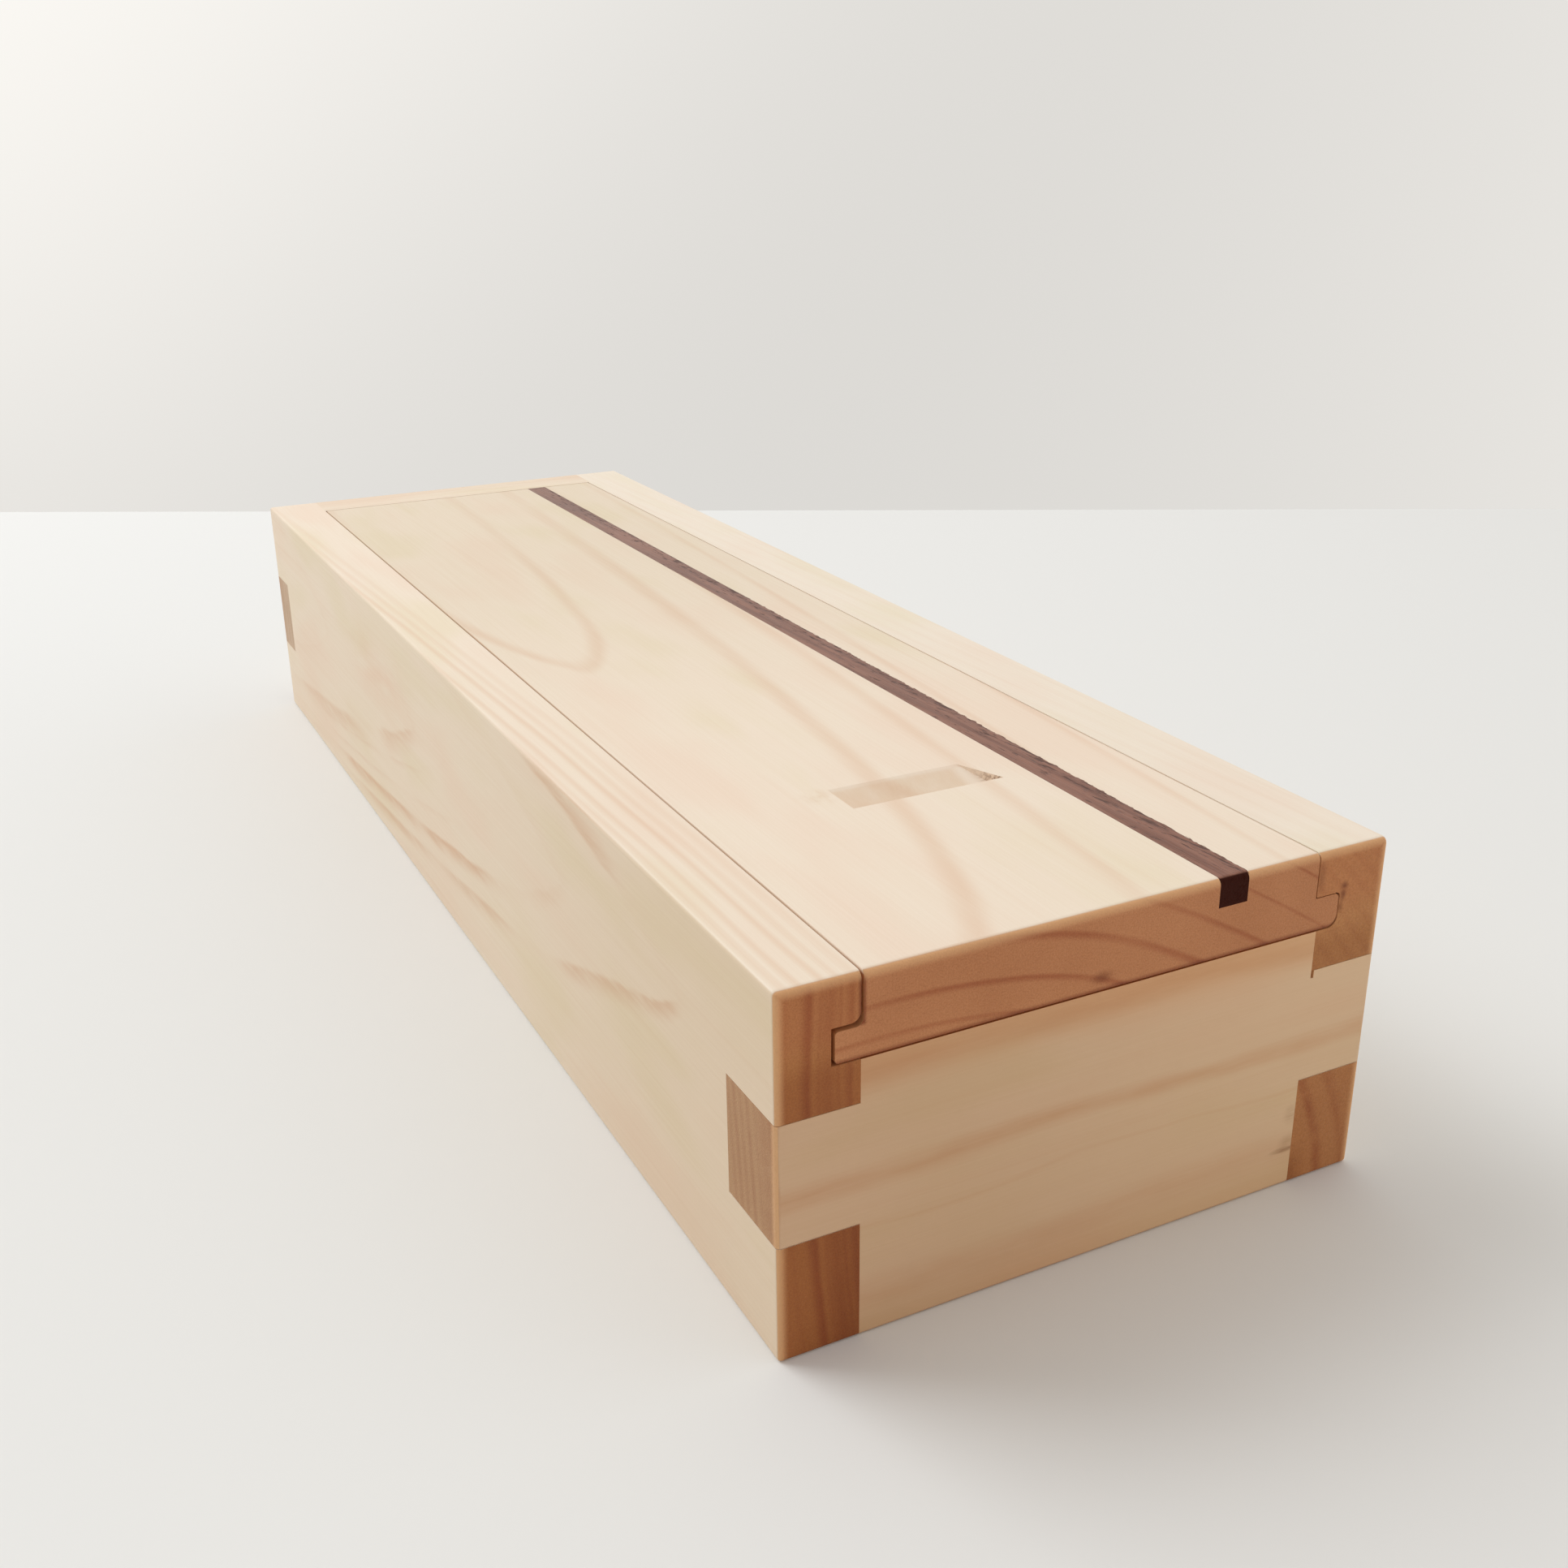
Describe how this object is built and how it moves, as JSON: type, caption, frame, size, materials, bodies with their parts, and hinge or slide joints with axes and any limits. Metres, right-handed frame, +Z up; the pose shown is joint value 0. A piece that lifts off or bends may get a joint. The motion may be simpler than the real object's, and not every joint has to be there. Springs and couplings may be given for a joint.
{
  "type": "sliding-lid pencil box",
  "caption": "Finger-jointed wooden pencil box whose inlaid lid slides out over its low front end.",
  "frame": {"origin": "centre of the underside, on the surface that the box stands on", "axes": "+X to the right side seen from the opening end, +Y from the opening end to the back, +Z up"},
  "size_m": [0.0654, 0.2, 0.0365],
  "materials": {
    "side_wood": "fine sanded, clear matt oil",
    "end_wood": "fine sanded, clear matt oil",
    "panel_wood": "planed, unfinished",
    "lid_wood": "fine sanded, clear matt oil",
    "inlay_wood": "fine sanded, clear matt oil"
  },
  "bodies": {
    "case": {"left_side": "side_wood", "right_side": "side_wood", "front_end": "end_wood", "back_end": "end_wood", "bottom_panel": "panel_wood"},
    "lid": {"lid_panel": "lid_wood", "lid_inlay": "inlay_wood"}
  },
  "joints": [
    {"name": "lid_slide", "type": "slide", "parent": "case", "child": "lid", "axis": [0, -1, 0], "range_m": [0, 0.2]}
  ]
}
